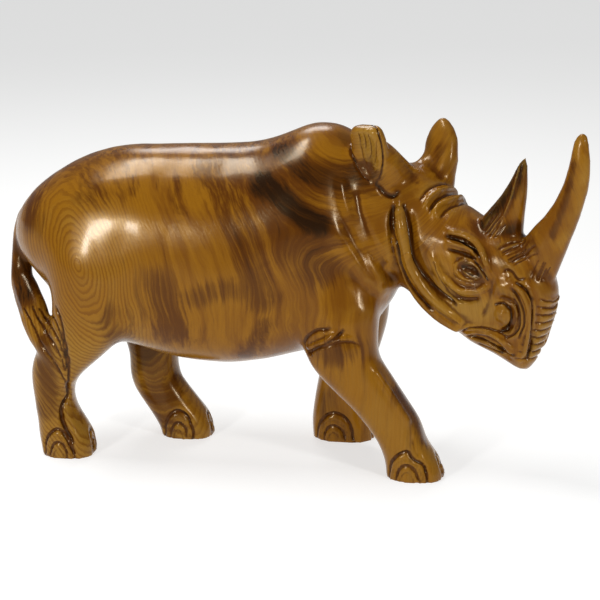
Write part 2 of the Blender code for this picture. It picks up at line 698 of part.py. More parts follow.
def level_soles(figure):
    """Cuts the feet off flat at z = 0."""
    mesh = bmesh.new()
    mesh.from_mesh(figure.data)
    everything = mesh.verts[:] + mesh.edges[:] + mesh.faces[:]
    cut = bmesh.ops.bisect_plane(
        mesh,
        geom=everything,
        plane_co=(0, 0, 0),
        plane_no=(0, 0, -1),
        clear_outer=True,
    )
    rim = [part for part in cut["geom_cut"] if isinstance(part, bmesh.types.BMEdge)]
    bmesh.ops.holes_fill(mesh, edges=rim, sides=0)
    bmesh.ops.recalc_face_normals(mesh, faces=mesh.faces)
    mesh.to_mesh(figure.data)
    mesh.free()


def facet(figure):
    """Reduces the skin to its largest flat facets, and keeps the soles level."""
    triangles = sum(len(face.vertices) - 2 for face in figure.data.polygons)
    apply_modifier(figure, "DECIMATE", ratio=FACETS / triangles)
    for vertex in figure.data.vertices:
        if vertex.co.z < SOLE_TOLERANCE * UNIT:
            vertex.co.z = 0.0


def set_on_origin(figure):
    """Moves the figure so that the origin is under the middle of its bounds."""
    low = [min(vertex.co[axis] for vertex in figure.data.vertices) for axis in (0, 1)]
    high = [max(vertex.co[axis] for vertex in figure.data.vertices) for axis in (0, 1)]
    for vertex in figure.data.vertices:
        vertex.co.x -= (low[0] + high[0]) / 2
        vertex.co.y -= (low[1] + high[1]) / 2


def wood():
    material = bpy.data.materials.new("lacquered wood")
    material.use_nodes = True
    shader = material.node_tree.nodes["Principled BSDF"]
    shader.inputs["Base Color"].default_value = WOOD_COLOUR
    shader.inputs["Roughness"].default_value = WOOD_ROUGHNESS
    shader.inputs["Metallic"].default_value = 0.0
    return material


def main():
    for old in list(bpy.data.objects):
        bpy.data.objects.remove(old)
    figure = fuse(
        [
            upright_form("rhinoceros_figurine", TRUNK),
            leg("right hind leg", RIGHT_HIND_LEG),
            leg("left hind leg", LEFT_HIND_LEG),
            leg("right foreleg", RIGHT_FORELEG),
            leg("left foreleg", LEFT_FORELEG),
            head_form("head", HEAD),
        ],
        ROUGH_GRAIN,
        ROUGH_RASPING,
    )
    blend(figure)
    figure = fuse(
        [
            figure,
            horn("front horn", FRONT_HORN),
            horn("rear horn", REAR_HORN),
            head_rod("right jaw", JAW_ROLL, -1),
            head_rod("left jaw", JAW_ROLL),
            ear("right ear", RIGHT_EAR, RIGHT_EAR_BOWL, RIGHT_EAR_PLACE, RIGHT_EAR_SWELL),
            ear("left ear", LEFT_EAR, LEFT_EAR_BOWL, LEFT_EAR_PLACE, LEFT_EAR_SWELL),
            tail("tail", TAIL),
        ],
        FINE_GRAIN,
        FINE_RASPING,
    )
    carve(figure)
    level_soles(figure)
    facet(figure)
    set_on_origin(figure)
    figure.data.materials.clear()
    figure.data.materials.append(wood())


main()
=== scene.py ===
import math

import bpy
import numpy as np
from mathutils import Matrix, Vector, noise


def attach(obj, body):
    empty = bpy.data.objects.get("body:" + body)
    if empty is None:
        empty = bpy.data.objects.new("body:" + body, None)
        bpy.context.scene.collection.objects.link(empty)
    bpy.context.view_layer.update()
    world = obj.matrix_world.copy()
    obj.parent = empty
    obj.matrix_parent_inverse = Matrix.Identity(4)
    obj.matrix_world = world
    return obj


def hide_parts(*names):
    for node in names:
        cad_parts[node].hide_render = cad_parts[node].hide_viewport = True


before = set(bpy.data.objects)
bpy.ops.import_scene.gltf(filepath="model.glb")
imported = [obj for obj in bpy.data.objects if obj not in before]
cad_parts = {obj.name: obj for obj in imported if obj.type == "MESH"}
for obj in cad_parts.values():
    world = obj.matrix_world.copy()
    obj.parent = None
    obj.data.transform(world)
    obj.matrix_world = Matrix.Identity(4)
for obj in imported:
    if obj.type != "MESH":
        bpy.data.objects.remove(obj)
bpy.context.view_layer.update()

# The rhinoceros, rounded with rasps
# One block of honey-coloured hardwood, sawn to a walking outline and rasped until no flat of the saw is left.
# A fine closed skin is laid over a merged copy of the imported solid, and its facets are smoothed away.
MILLIMETRE = 0.001
SKIN_STEP = 0.95

# Places are in millimetres on the carver's drawing, whose origin is beside the middle of the figure's bounds
DRAWING_ORIGIN = np.array([3.008, 2.584, 0.0])
POLL = np.array([57.6, -4.0, 152.0])
HEAD_YAW = math.radians(25.5)
HEAD_PITCH = math.radians(22.0)
HEAD_ALONG = np.array(
    [
        math.cos(HEAD_YAW) * math.cos(HEAD_PITCH),
        -math.sin(HEAD_YAW) * math.cos(HEAD_PITCH),
        -math.sin(HEAD_PITCH),
    ]
)
HEAD_LEFT = np.array([math.sin(HEAD_YAW), math.cos(HEAD_YAW), 0.0])
HEAD_UP = np.cross(HEAD_ALONG, HEAD_LEFT)

# The head's own part of the skin: its jaw ahead of the throat, and its crown with the ears and horns
JAW_START = (1.0, 9.0)
JAW_BOTTOM = (-74.0, -64.0)
CROWN_BOTTOM = (-3.0, 4.0)
CROWN_BACK = (-33.0, -26.0)

# How often the rasp goes over the skin, and the share of its work that the finer parts get
BODY_PASSES = 90
HEAD_PASSES = 2
HEAD_SHARE = 0.07
FOOT_SHARE = 0.12
TAIL_SHARE = 0.10
FOOT_TOP = (20.0, 34.0)
TAIL_FRONT = (-137.0, -129.0)
SOLE_EDGE = (0.2, 3.0)
SHARE_STEPS = 50


def only(piece):
    """Selects this piece alone."""
    bpy.ops.object.select_all(action="DESELECT")
    piece.select_set(True)
    bpy.context.view_layer.objects.active = piece


def worked(piece, kind, **settings):
    """Gives the piece a modifier and applies it."""
    only(piece)
    modifier = piece.modifiers.new(kind.title(), kind)
    for name, value in settings.items():
        setattr(modifier, name, value)
    bpy.ops.object.modifier_apply(modifier=modifier.name)


def rise(value, low, high):
    """From 0 at low to 1 at high, with soft ends."""
    share = np.clip((value - low) / (high - low), 0.0, 1.0)
    return share * share * (3.0 - 2.0 * share)


def skin_points(piece):
    """The points of the skin, on the drawing."""
    places = np.empty(len(piece.data.vertices) * 3)
    piece.data.vertices.foreach_get("co", places)
    return places.reshape(-1, 3) / MILLIMETRE - DRAWING_ORIGIN


def skin_directions(piece):
    """Which way is outward at each point."""
    outward = np.empty(len(piece.data.vertices) * 3)
    piece.data.vertex_normals.foreach_get("vector", outward)
    return outward.reshape(-1, 3)


def in_head(points):
    """Along the head, out to its left, and up from its forehead line."""
    return ((points - POLL) @ np.array([HEAD_ALONG, HEAD_LEFT, HEAD_UP]).T).T


def move_skin(piece, points):
    piece.data.vertices.foreach_set("co", ((points + DRAWING_ORIGIN) * MILLIMETRE).ravel())
    piece.data.update()


def head_cover(points):
    """1 on the head, 0 on the body, with a soft edge between them."""
    along, left, up = in_head(points)
    jaw = rise(along, *JAW_START) * rise(up, *JAW_BOTTOM)
    crown = rise(up, *CROWN_BOTTOM) * rise(along, *CROWN_BACK)
    return np.maximum(jaw, crown)


def smooth(piece, passes, share):
    """Smooths the skin, more where share is near 1."""
    group = piece.vertex_groups.new(name="smoothing")
    steps = np.round(share * SHARE_STEPS).astype(int)
    for step in np.unique(steps[steps > 0]):
        group.add(np.nonzero(steps == step)[0].tolist(), step / SHARE_STEPS, "REPLACE")
    worked(piece, "SMOOTH", factor=0.5, iterations=passes, vertex_group=group.name)
    piece.vertex_groups.clear()


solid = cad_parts["rhinoceros_figurine"]
only(solid)
bpy.ops.object.duplicate()
rhinoceros = bpy.context.view_layer.objects.active
rhinoceros.name = "carved_rhinoceros"
bpy.ops.object.mode_set(mode="EDIT")
bpy.ops.mesh.select_all(action="SELECT")
bpy.ops.mesh.remove_doubles(threshold=1e-6)
bpy.ops.object.mode_set(mode="OBJECT")
worked(rhinoceros, "REMESH", mode="VOXEL", voxel_size=SKIN_STEP * MILLIMETRE)

points = skin_points(rhinoceros)
share = 1.0 - (1.0 - HEAD_SHARE) * head_cover(points)
share = np.minimum(share, FOOT_SHARE + (1.0 - FOOT_SHARE) * rise(points[:, 2], *FOOT_TOP))
share = np.minimum(share, TAIL_SHARE + (1.0 - TAIL_SHARE) * rise(points[:, 0], *TAIL_FRONT))
share *= rise(points[:, 2], *SOLE_EDGE)
smooth(rhinoceros, BODY_PASSES, share)

# Finer skin on the head, where the carving is finest
middles = np.empty(len(rhinoceros.data.polygons) * 3)
rhinoceros.data.polygons.foreach_get("center", middles)
middles = middles.reshape(-1, 3) / MILLIMETRE - DRAWING_ORIGIN
rhinoceros.data.polygons.foreach_set("select", head_cover(middles) > 0.5)
only(rhinoceros)
bpy.ops.object.mode_set(mode="EDIT")
bpy.ops.mesh.subdivide(number_cuts=1)
bpy.ops.object.mode_set(mode="OBJECT")
smooth(rhinoceros, HEAD_PASSES, head_cover(skin_points(rhinoceros)))

# The uneven skin
# Sandpaper followed the knife by hand, so the wood is never quite even: the body swells and dips a little,
# with shallow upright flutes, and the head keeps small facets of the knife. Each has its height and size.
BODY_SWELL = (0.35, 24.0)
BODY_FLUTE = (0.10, 7.0)
HEAD_FACET = (0.12, 6.5)
FLUTE_STRETCH = np.array([1.0, 1.0, 0.35])
CALM_SOLE = (1.0, 6.0)


def uneven(points, height, size):
    """Soft dents and swellings of the given height and size."""
    return np.array([height * noise.noise(Vector(place)) for place in points / size])


points = skin_points(rhinoceros)
on_head = head_cover(points)
push = uneven(points, *BODY_SWELL) * (1.0 - on_head)
push += uneven(points * FLUTE_STRETCH, *BODY_FLUTE) * (1.0 - on_head)
push += uneven(points, *HEAD_FACET) * on_head
push *= rise(points[:, 2], *CALM_SOLE)
move_skin(rhinoceros, points + skin_directions(rhinoceros) * push[:, None])

# The carved head
# The brows, lids, cheeks, nostrils and lips are cut in the wood with small gouges, the same on both sides.
# Short picks of a narrow gouge run up from the feet of the horns, and the near ear is hollowed.

# Each cut has its half width, its height, below 0 for a groove, how dark its floor is with smoke stain and
# painted shade, and its places: along the head, to its left, and up. One that ends on the head's middle line
# goes on over the far side.
HEAD_CUTS = {
    "first forehead fold": (
        1.6, 0.8, 0.0,
        ((20, -15.5, -9), (19, -10, -5), (18.8, -4, -4), (18.8, 0, -3.8)),
    ),
    "groove behind the first fold": (
        1.2, -0.8, 0.4,
        ((16.5, -15, -8), (15.5, -9, -4), (15.5, -4, -3), (15.5, 0, -2.8)),
    ),
    "groove between the folds": (
        1.2, -1.1, 0.7,
        ((22.8, -14, -10), (22, -9, -6.6), (22.2, -3, -5), (22.2, 0, -4.6)),
    ),
    "second forehead fold": (
        1.7, 0.7, 0.0,
        ((25.6, -16, -11.4), (24.8, -12.8, -7.7), (25.4, -7.6, -5.6), (26.2, 0, -5.2)),
    ),
    "groove before the second fold": (
        1.1, -0.7, 0.3,
        ((30, -14.5, -10.5), (29, -10, -7.6), (29.4, -4, -6), (30.2, 0, -5.8)),
    ),
    "brow ridge": (
        2.2, 1.6, 0.0,
        ((36.5, -16, -14), (42.5, -15, -12), (48, -14.5, -11.5), (53.5, -15.5, -12), (58.5, -17, -14),
         (63, -17.5, -18.5)),
    ),
    "upper lid crease": (
        1.9, -2.2, 1.0,
        ((38, -16.5, -16), (40.5, -15, -15.5), (45, -14.5, -14.5), (49.5, -14.5, -14.5), (53, -14, -15),
         (57, -15, -16.5)),
    ),
    "lid fold": (
        1.2, 0.8, 0.0,
        ((39.5, -18, -17.5), (43, -17.5, -17), (47, -17, -16), (50, -16, -15.5), (54.5, -16, -16.5)),
    ),
    "crease over the eye": (
        1.5, -1.6, 0.9,
        ((41.5, -18, -20.5), (45.5, -17.5, -20), (48.5, -16, -19.5), (52, -15.5, -19), (55, -16, -18.5)),
    ),
    "eye ring": (
        0.9, 0.5, 0.0,
        ((51.5, -17, -20.5), (48.5, -17, -24), (48.5, -18.5, -26.5), (50.5, -19, -28.5),
         (54, -18.5, -29.5), (57.5, -17.5, -29), (61.5, -17, -26)),
    ),
    "groove round the eye ring": (
        0.8, -0.35, 0.0,
        ((49.5, -16.5, -20.5), (47, -17.5, -23.5), (47, -18.5, -26.5), (49, -18.5, -30),
         (53, -18.5, -31), (58.5, -18, -30), (62.5, -16.5, -27.5)),
    ),
    "eye": (
        2.5, -1.5, 1.0,
        ((51.5, -18, -24.8), (54, -18, -23.6), (57, -17.5, -23.2), (60.5, -17.5, -24.2)),
    ),
    "eyeball": (1.8, 0.9, 1.0, ((55.0, -18, -24.2), (57.2, -17.5, -23.8))),
    "lower lid": (
        0.9, 0.6, 0.0,
        ((51, -18.5, -26.2), (54.5, -18.5, -27.2), (58.5, -18, -27), (62, -17, -25.2)),
    ),
    "eye corner": (
        1.0, -1.2, 1.0,
        ((56, -16.5, -19.5), (59, -17, -20.5), (62.5, -17.5, -22), (66, -17, -24.5)),
    ),
    "pouch under the eye": (
        2.3, 1.5, 0.0,
        ((47.5, -20, -33.5), (51.5, -20, -35), (56, -19, -35.5), (60, -18.5, -33.5), (64, -17.5, -31),
         (66.5, -16.5, -27)),
    ),
    "groove under the pouch": (
        2.0, -1.2, 0.4,
        ((48, -19.5, -37), (51.5, -18, -39), (56, -16.5, -40), (61, -16.5, -38), (65.5, -16.5, -34.5)),
    ),
    "cheek wrinkle": (
        1.0, -0.7, 0.5,
        ((38, -21.5, -29), (41, -21, -33), (46, -19, -37.5), (52, -17, -41), (58.5, -17, -41.5)),
    ),
    "knob over the nostril": (2.4, 1.2, 0.0, ((74, -15, -18), (76, -15, -19))),
    "crease over the knob": (
        1.1, -1.0, 0.8,
        ((71, -15, -17), (71.5, -14.5, -15), (74.5, -14, -15), (78.5, -14, -17), (81, -12.5, -15.5)),
    ),
    "lip band": (
        1.5, 1.1, 0.0,
        ((78.5, -15.5, -20), (83, -15, -21), (87, -14.5, -24.5), (90.5, -13, -30), (92.5, -11.5, -37.5),
         (94, -10.5, -45.5), (94.5, -8.5, -52.5)),
    ),
    "groove behind the lip band": (
        1.2, -1.3, 0.8,
        ((78, -15.5, -22), (81.5, -14.5, -24), (85, -14, -27.5), (88, -13.5, -31.5), (90, -13.5, -37),
         (90, -12, -43.5)),
    ),
    "groove before the lip band": (
        1.3, -1.4, 0.9,
        ((79, -14.5, -18.5), (83.5, -14, -19), (87, -13, -21), (89.5, -12, -24), (92, -12, -30),
         (93.5, -10, -37.5), (94.5, -6.5, -46.5), (95, -5, -54)),
    ),
    "pit by the lip band": (2.0, -0.9, 1.0, ((84, -13.5, -19), (86.5, -13, -20.5), (88.5, -11.5, -22.5))),
    "nostril knob": (2.4, 0.9, 0.0, ((78, -17.5, -34.5), (79.5, -17.5, -36))),
    "crease over the nostril": (
        1.2, -1.3, 1.0,
        ((74, -16, -33), (75.5, -16, -31), (77.5, -15, -30.5), (80, -15.5, -31)),
    ),
    "nostril": (
        1.8, -1.9, 1.0,
        ((79, -15.5, -30.5), (82.5, -15, -32), (84, -14.5, -35), (84, -13.5, -39), (82.5, -13, -43),
         (80.5, -14, -45)),
    ),
    "ridge round the nostril": (
        1.0, 0.7, 0.0,
        ((79.5, -13, -29), (83, -13, -31), (85, -12, -35), (86, -12, -40), (85.5, -13.5, -43)),
    ),
    "groove round the nostril": (
        1.1, -1.1, 0.8,
        ((81, -15, -26.5), (84, -13, -30), (86.5, -12.5, -34), (88, -13, -39), (87, -14, -43),
         (84.5, -13.5, -46.5)),
    ),
    "mouth corner line": (
        1.0, -1.0, 0.6,
        ((62, -12.5, -56.5), (66, -15.5, -51.5), (70.5, -15, -48.5), (75.5, -14.5, -46.5),
         (80.5, -14.5, -45.5), (85.5, -14, -46)),
    ),
    "upper lip": (
        1.6, 0.8, 0.0,
        ((63, -11, -58), (67.5, -13, -53.5), (73.5, -14.5, -50), (79.5, -15.5, -48.5), (84.5, -14, -49),
         (90, -11.5, -50.5)),
    ),
    "mouth": (
        1.4, -1.6, 0.9,
        ((65, -11, -58), (68.5, -11, -57), (74, -12, -55), (79.5, -11.5, -54.5), (84.5, -9.5, -54.5),
         (90.5, -11.5, -53.5)),
    ),
    "lower lip cut": (
        1.2, -1.2, 1.0,
        ((71, -9, -59.5), (75, -9.5, -58.5), (80, -10, -57.5), (84.5, -10, -56)),
    ),
    "neck fold": (
        3.6, 2.2, 0.0,
        ((10.5, -21.5, -13), (15.5, -24.5, -18.5), (21.5, -24.5, -27), (26.5, -23.5, -34.5),
         (33, -22.5, -40.5), (42, -21, -45.5), (52.5, -18, -49), (62.5, -14.5, -52.5)),
    ),
    "groove before the neck fold": (
        1.9, -1.6, 0.9,
        ((12, -20, -12.5), (17, -20, -18.5), (23.5, -21.5, -26.5), (28.5, -22, -32), (35.5, -20, -38),
         (44, -18, -42), (55, -17.5, -44)),
    ),
    "groove behind the neck fold": (
        1.9, -1.5, 0.9,
        ((7, -20.5, -15.5), (11, -22, -23.5), (18.5, -25.5, -30), (23, -25, -37), (28.5, -23.5, -43),
         (36, -22.5, -47.5), (46, -21, -51.5)),
    ),
    "edge of the rear horn": (
        0.9, 0.7, 0.0,
        ((52, -1, 29.5), (53.5, -3, 23.5), (55, -4, 17), (56, -5.5, 10.5), (56.5, -6.5, 4)),
    ),
}

# The ribs down the front of the upper lip, one under the other, each a cut as above
RIB_TOP = -21.0
RIB_BOTTOM = -55.0
RIB_SPACING = 4.1
RIB_SAG = 0.7
RIB_CUT = (0.9, -0.7, 0.45)

# Picks at the horns: between which two places they start, their half width, their run, and their number
PICK_SEED = 7
PICK_SCATTER = 0.5
PICK_DEPTH = 0.6
PICK_FADE = 1.5
HORN_PICKS = (
    ((49.5, -9, -7.5), (59, -9.5, -7), 0.55, (1.0, 1.8, 6.5), 13),
    ((62, -12.5, -9), (74, -13.5, -12), 0.60, (4.5, 7.0, 6.5), 15),
    ((82, -10.5, -14.5), (89, -5, -14.5), 0.50, (-0.4, 1.0, 6.0), 9),
)

# The near ear's own cuts: the rim of its hollow, the crease at its root, and the gouge's strokes on its floor
NEAR_EAR_CUTS = {
    "back rim": (
        1.2, -1.1, 1.0,
        ((-25, -24, 13), (-26, -25, 9), (-25.5, -22.5, 4), (-22.5, -24, -0.5), (-18, -25, -4),
         (-13.5, -25, -7), (-8.5, -24.5, -9)),
    ),
    "front rim": (
        1.0, -0.9, 1.0,
        ((-17.5, -23.5, 17), (-13, -25.5, 16.5), (-10, -26, 14.5), (-7.5, -25, 10.5),
         (-5, -24.5, 5.5), (-4, -24, 0.5), (-3.5, -24, -3.5), (-4.5, -24.5, -8)),
    ),
    "root crease": (
        2.2, -1.5, 1.0,
        ((-3.5, -24, -9), (0.5, -21, -11.5), (4.5, -19, -12), (5.5, -17.5, -9.5)),
    ),
    "first floor stroke": (0.6, -0.3, 0.6, ((-19, -27.5, 15), (-17, -27, 11), (-15.5, -25, 5.5))),
    "second floor stroke": (0.6, -0.3, 0.6, ((-21.5, -27, 13.5), (-19.5, -26, 9), (-18.5, -25.5, 6))),
    "third floor stroke": (
        0.6, -0.3, 0.6,
        ((-16.5, -27, 16), (-14, -26.5, 11), (-12, -25, 5), (-12, -24, 2)),
    ),
    "fourth floor stroke": (0.6, -0.3, 0.5, ((-18.5, -25.5, 6), (-15.5, -24, 0), (-12, -23, -4))),
    "fifth floor stroke": (0.6, -0.3, 0.5, ((-10.5, -27, 13), (-9, -26, 6), (-8.5, -24.5, 1))),
}


PATH_STEP = 0.7
PATH_EVENING = 4
CUT_FADE = 3.0
SKIN_SLACK = 9.0


def along_path(places, step):
    """A smooth path through the given places, with points about a step apart."""
    rows = np.array(places, float)
    ends = np.vstack([2 * rows[0] - rows[1], rows, 2 * rows[-1] - rows[-2]])
    path = []
    for before, start, end, after in zip(ends, ends[1:], ends[2:], ends[3:]):
        count = max(2, int(np.linalg.norm(end - start) / step))
        for turn in np.arange(count) / count:
            bend = 2 * before - 5 * start + 4 * end - after
            twist = 3 * (start - end) + after - before
            path.append(start + turn * (end - before + turn * (bend + turn * twist)) / 2)
    path.append(rows[-1])
    return np.array(path)


def near_path(points, path, reach):
    """Which points lie within reach of the path, how far off it, and how far along it."""
    low, high = path.min(axis=0) - reach, path.max(axis=0) + reach
    near = np.nonzero(((points > low) & (points < high)).all(axis=1))[0]
    gap = np.full(len(near), np.inf)
    along = np.zeros(len(near))
    run = 0.0
    for start, end in zip(path, path[1:]):
        step = end - start
        length = max(float(np.linalg.norm(step)), 1e-6)
        part = np.clip((points[near] - start) @ step / length**2, 0.0, 1.0)
        away = np.linalg.norm(points[near] - start - part[:, None] * step, axis=1)
        closer = away < gap
        gap[closer] = away[closer]
        along[closer] = (run + part * length)[closer]
        run += length
    inside = gap < reach
    return near[inside], gap[inside], along[inside], run


def evened_path(path):
    """The path without the small steps that it takes from point to point of the skin."""
    for _ in range(PATH_EVENING):
        path[1:-1] = (path[:-2] + 2 * path[1:-1] + path[2:]) / 4
    return path


class Carving:
    """Cuts made in the skin of the figure, one after another. Their floors are marked, to be darkened with
    stain and painted shade.
    """

    def __init__(self, piece):
        self.piece = piece
        self.points = skin_points(piece)
        self.outward = skin_directions(piece)
        self.push = np.zeros(len(self.points))
        self.stains_and_shades = []

    def laid(self, places):
        """Which points of the skin lie under the smooth path through the places."""
        path = along_path(places, PATH_STEP)
        low, high = path.min(axis=0) - SKIN_SLACK, path.max(axis=0) + SKIN_SLACK
        close = np.nonzero(((self.points > low) & (self.points < high)).all(axis=1))[0]
        return [close[np.argmin(((self.points[close] - place) ** 2).sum(axis=1))] for place in path]

    def cut(self, half_width, height, stain_and_shade, places, fade=CUT_FADE):
        """Raises or cuts a line that runs out softly at both ends."""
        under = self.laid(places)
        near, gap, along, run = near_path(self.points, evened_path(self.points[under]), half_width)
        ends = rise(np.minimum(along, run - along), -0.4 * fade, fade)
        shape = 0.5 + 0.5 * np.cos(math.pi * gap / half_width)
        self.push[near] += height * ends * shape
        if stain_and_shade:
            self.stains_and_shades.append((under, half_width, stain_and_shade))

    def finished(self):
        """Moves the skin, and gives back the floor of each cut that is darkened with stain and painted shade.
        """
        moved = self.points + self.outward * self.push[:, None]
        move_skin(self.piece, moved)
        return [(evened_path(moved[under]), width, stain_and_shade) for under, width, stain_and_shade in self.stains_and_shades]


def head_place(along, left, up):
    """Where on the drawing a place in the head is."""
    return POLL + HEAD_ALONG * along + HEAD_LEFT * left + HEAD_UP * up


carving = Carving(rhinoceros)
for half_width, height, stain_and_shade, places in HEAD_CUTS.values():
    near_side = [head_place(*place) for place in places]
    far_side = [head_place(along, -left, up) for along, left, up in places]
    if places[-1][1] == 0:
        carving.cut(half_width, height, stain_and_shade, near_side + far_side[-2::-1])
    else:
        carving.cut(half_width, height, stain_and_shade, near_side)
        carving.cut(half_width, height, stain_and_shade, far_side)
for half_width, height, stain_and_shade, places in NEAR_EAR_CUTS.values():
    carving.cut(half_width, height, stain_and_shade, [head_place(*place) for place in places])
rib = RIB_TOP
while rib > RIB_BOTTOM:
    groove = [(91, 9.5, rib - RIB_SAG), (95, 6, rib - 0.4 * RIB_SAG), (97, 0, rib)]
    across = [(along, -left, up) for along, left, up in groove] + groove[-2::-1]
    carving.cut(*RIB_CUT, [head_place(*place) for place in across])
    rib -= RIB_SPACING
picks = np.random.default_rng(PICK_SEED)
for start, end, wide, long, count in HORN_PICKS:
    for side in (1, -1):
        for _ in range(count):
            share = picks.uniform()
            foot = np.array(start) + share * (np.array(end) - np.array(start))
            foot += picks.normal(0.0, PICK_SCATTER, 3)
            tip = foot + np.array(long) * picks.uniform(0.7, 1.8)
            half_width = wide * picks.uniform(0.7, 1.5)
            places = [
                head_place(along, left * side, up) for along, left, up in (foot, (foot + tip) / 2, tip)
            ]
            stain_and_shade = picks.uniform(0.4, 1.0)
            carving.cut(half_width, -PICK_DEPTH * half_width, stain_and_shade, places, PICK_FADE)


# The body's folds, the nails and the tail
# The folds at the shoulder, elbow and hock, and the hair of the tail, are long shallow gouge cuts in the
# wood. Each foot has three nails, each of them a few arches one inside the other.

# Each cut has its half width, its height, how dark its floor is with smoke stain and painted shade, how far
# forward of it the far side's cut lies, or None where the far side has none, and its places on the drawing.
BODY_CUTS = {
    "shoulder ridge": (
        4.5, 1.1, 0.0, 0.0,
        ((24, -26, 149), (26, -29, 139), (30, -30, 128), (34, -30, 119), (40, -29, 108), (46, -28, 97)),
    ),
    "neck hollow": (
        3.5, -0.9, 0.0, 0.0,
        ((32, -25, 143), (34, -27, 134), (38, -29, 124), (43, -29, 114), (48, -26, 105)),
    ),
    "elbow arch": (
        1.5, -1.5, 0.8, -16.0,
        ((21, -40, 77), (15, -39, 76), (9, -37, 71), (6, -35, 66), (7, -35, 63), (11, -37, 62)),
    ),
    "elbow crease": (
        1.6, -1.7, 0.9, -16.0,
        ((8, -36, 62), (15, -39, 67), (24, -41, 72.5), (28, -40, 76.5)),
    ),
    "elbow fold": (2.0, 1.2, 0.0, -16.0, ((8, -36, 65), (12, -37, 66.5), (19, -41, 71), (25, -41, 75))),
    "lower elbow crease": (
        1.2, -1.0, 0.6, -16.0,
        ((16, -40, 66), (24, -40, 70), (32, -39, 70.5), (36, -39, 69.5)),
    ),
    "lower elbow fold": (1.6, 0.9, 0.0, -16.0, ((17, -40, 68.5), (25, -40, 72), (32, -39, 72.5))),
    "shin of the foreleg": (
        3.2, 0.9, 0.0, None,
        ((43, -37, 57), (49, -37, 48), (56, -37, 38), (61, -36, 29)),
    ),
    "first hair of the tail": (
        1.0, -1.0, 1.0, None,
        ((-137.5, -23.5, 75.5), (-133, -28, 71), (-129.5, -31, 66), (-125.5, -34.5, 60.5),
         (-119.5, -37, 53), (-116, -36.5, 46.5), (-113, -34, 40)),
    ),
    "second hair of the tail": (
        1.0, -1.0, 1.0, None,
        ((-133, -24, 77), (-129.5, -27, 72.5), (-124.5, -29.5, 66.5), (-118.5, -37, 62),
         (-115.5, -37, 55), (-113.5, -35.5, 48)),
    ),
    "third hair of the tail": (
        1.0, -1.0, 1.0, None,
        ((-129, -24.5, 76.5), (-125.5, -26, 72), (-119, -35.5, 68.5), (-115.5, -38, 63),
         (-113.5, -37, 56), (-112.5, -35, 49)),
    ),
    "fourth hair of the tail": (
        1.0, -1.0, 1.0, None,
        ((-125.5, -21.5, 75.5), (-119, -35, 74.5), (-115.5, -38, 69.5), (-113.5, -38, 62),
         (-112.5, -37, 54.5)),
    ),
    "edge of the tail": (
        1.3, -1.3, 0.9, None,
        ((-117, -36.5, 81.5), (-114.5, -39, 75), (-113, -39, 67), (-111.5, -37.5, 58),
         (-111.5, -34.5, 48), (-112.5, -31.5, 38.5)),
    ),
    "hind crease": (
        1.9, -1.7, 0.9, 53.0,
        ((-113, -32.5, 40), (-114.5, -26.5, 33), (-116.5, -29, 29), (-118, -30, 24), (-117, -30.5, 19),
         (-114.5, -31, 13.5), (-112, -31, 8.5)),
    ),
}

# Where the middle of each foot is, its radius, and how broad half of a full nail is
FEET = (
    (-116.0, -20.0, 14.0, 8.5),
    (-62.5, 19.5, 14.2, 8.5),
    (63.0, -26.0, 15.0, 11.0),
    (18.5, 28.5, 15.5, 11.0),
)
# Each nail's bearing in degrees from straight ahead, its share of the foot's breadth, and its height
NAILS = ((103.0, 1.0, 14.5), (-103.0, 1.0, 14.5), (8.0, 0.62, 12.0))
# Each arch's share of its nail, its half width, its height, and how dark its floor is with smoke stain and
# painted shade
NAIL_CUTS = ((1.0, 1.3, -1.2, 0.9), (0.76, 0.9, -0.5, 0.3), (0.55, 1.1, -0.9, 0.8), (0.3, 0.8, -0.5, 0.5))
NAIL_FOOT = 0.8
ARCH_STEPS = 12
MOST_TRIANGLES = 194000
for half_width, height, stain_and_shade, shift, places in BODY_CUTS.values():
    carving.cut(half_width, height, stain_and_shade, places)
    if shift is not None:
        carving.cut(half_width, height, stain_and_shade, [(x + shift, -y, z) for x, y, z in places])
for foot_x, foot_y, radius, breadth in FEET:
    for bearing, part, tall in NAILS:
        for share, half_width, height, stain_and_shade in NAIL_CUTS:
            arch = []
            for step in range(ARCH_STEPS + 1):
                turn = math.pi * step / ARCH_STEPS
                angle = math.radians(bearing) + share * part * breadth / radius * math.cos(turn)
                across = (foot_x + radius * math.cos(angle), foot_y + radius * math.sin(angle))
                arch.append((*across, NAIL_FOOT + share * tall * math.sin(turn)))
            carving.cut(half_width, height, stain_and_shade, arch)
stains_and_shades = carving.finished()

triangles = sum(len(face.vertices) - 2 for face in rhinoceros.data.polygons)
if triangles > MOST_TRIANGLES:
    worked(rhinoceros, "DECIMATE", ratio=MOST_TRIANGLES / triangles)
only(rhinoceros)
bpy.ops.object.shade_smooth()

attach(rhinoceros, "root")
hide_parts("rhinoceros_figurine")


# Smoke in the wood
# The figure was smoked over a low fire before it was lacquered, which left red-brown clouds and near-black
# bands in the wood. On the raised parts of the head the smoke is rubbed off, so they are pale.

